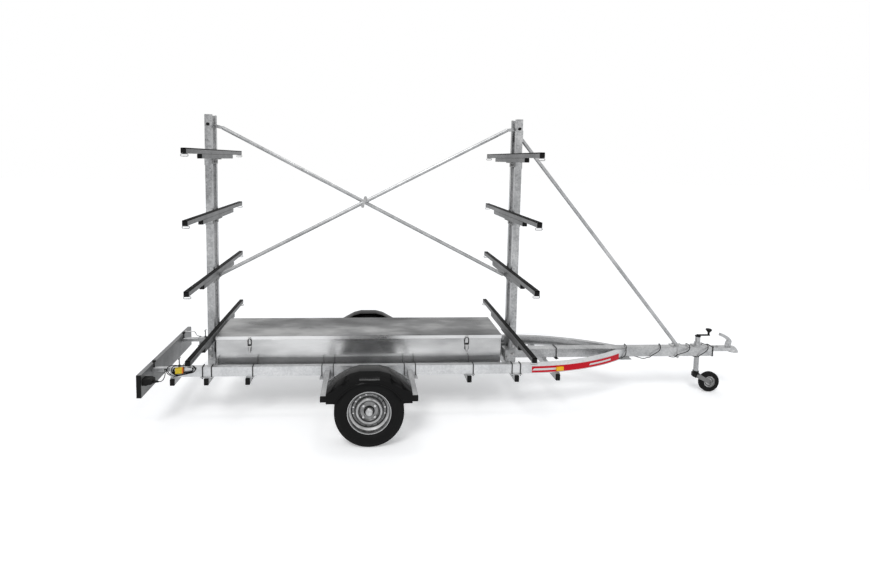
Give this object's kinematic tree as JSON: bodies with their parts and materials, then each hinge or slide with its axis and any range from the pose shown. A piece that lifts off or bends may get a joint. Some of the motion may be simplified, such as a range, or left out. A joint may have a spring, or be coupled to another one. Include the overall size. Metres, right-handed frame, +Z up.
{
  "type": "windsurf board trailer",
  "caption": "Single-axle trailer with two masts of padded cross bars over a long sheet-metal box, a pull-out light board and a jockey wheel.",
  "frame": {"origin": "on the ground, below the middle of the overall box", "axes": "+X forwards to the coupling, +Y across to the far side, +Z up"},
  "size_m": [5.589, 1.688, 2.66],
  "materials": {
    "galvanised": "hot-dip galvanised with a fine spangle, satin",
    "bright_sheet": "new galvanised sheet, bright and smooth",
    "zinc": "bright zinc plate",
    "wheel_silver": "silver wheel paint, semi-gloss",
    "tyre_rubber": "matt",
    "pad_rubber": "matt, ribbed along its length",
    "black_plastic": "satin",
    "guard_black": "glossy",
    "cable_black": "smooth sheath",
    "lens_red": "clear moulded lens",
    "band_red": "reflecting film",
    "lens_amber": "clear moulded lens"
  },
  "bodies": {
    "chassis": {"rail_near": "galvanised", "rail_far": "galvanised", "cross_beams": "galvanised", "beam_caps": "black_plastic", "clamp_plates": "galvanised", "u_bolts": "zinc", "drawbar": "galvanised", "drawbar_flange": "black_plastic", "coupling_head": "zinc", "coupling_lever": "zinc", "axle_tube": "galvanised", "axle_brackets": "galvanised", "swing_arms": "galvanised", "stub_axles": "zinc", "guard_near": "guard_black", "guard_far": "guard_black", "guard_beams": "galvanised", "mast_rear": "galvanised", "mast_front": "galvanised", "mast_feet": "galvanised", "rack_bars": "galvanised", "rack_supports": "galvanised", "rack_pads": "pad_rubber", "rack_caps": "black_plastic", "rack_rings": "zinc", "rack_clamps": "zinc", "brace_rising": "galvanised", "brace_falling": "galvanised", "brace_clamp": "zinc", "front_stay": "galvanised", "box_body": "bright_sheet", "lid_hinges": "zinc", "box_latches": "zinc", "arm_clamps": "zinc", "marker_bands": "band_red", "marker_lamps": "lens_amber", "jockey_clamp": "galvanised", "frame_cable": "cable_black", "cable_plug": "black_plastic", "lamp_lead": "cable_black", "lead_hank": "cable_black"},
    "wheel_near": {"tyre_near": "tyre_rubber", "rim_near": "wheel_silver", "hub_near": "zinc"},
    "wheel_far": {"tyre_far": "tyre_rubber", "rim_far": "wheel_silver", "hub_far": "zinc"},
    "box_lid": {"box_lid": "bright_sheet"},
    "light_board": {"light_board": "galvanised", "board_caps": "black_plastic", "lamp_housings": "black_plastic", "lamp_lenses": "lens_red", "board_arms": "galvanised", "board_knobs": "black_plastic"},
    "jockey_tube": {"jockey_sleeve": "galvanised", "jockey_crank": "black_plastic"},
    "jockey_fork": {"jockey_fork": "black_plastic", "jockey_arms": "zinc"},
    "jockey_wheel": {"jockey_tyre": "tyre_rubber", "jockey_rim": "zinc"}
  },
  "joints": [
    {"name": "wheel_near_spin", "type": "hinge", "parent": "chassis", "child": "wheel_near", "pos_m": [-0.8835, -0.7475, 0.2805], "axis": [0, 1, 0], "continuous": true},
    {"name": "wheel_far_spin", "type": "hinge", "parent": "chassis", "child": "wheel_far", "pos_m": [-0.8835, 0.7475, 0.2805], "axis": [0, 1, 0], "continuous": true},
    {"name": "box_lid_hinge", "type": "hinge", "parent": "chassis", "child": "box_lid", "pos_m": [-0.9585, 0.2435, 0.648], "axis": [-1, 0, 0], "range_deg": [0, 100]},
    {"name": "light_board_slide", "type": "slide", "parent": "chassis", "child": "light_board", "axis": [-1, 0, 0], "range_m": [0, 0.3]},
    {"name": "jockey_lift", "type": "slide", "parent": "chassis", "child": "jockey_tube", "axis": [0, 0, 1], "range_m": [0, 0.14]},
    {"name": "jockey_swivel", "type": "hinge", "parent": "jockey_tube", "child": "jockey_fork", "pos_m": [2.3825, 0, 0.2], "axis": [0, 0, 1], "continuous": true},
    {"name": "jockey_spin", "type": "hinge", "parent": "jockey_fork", "child": "jockey_wheel", "pos_m": [2.5215, 0, 0.1], "axis": [0, 1, 0], "continuous": true}
  ]
}
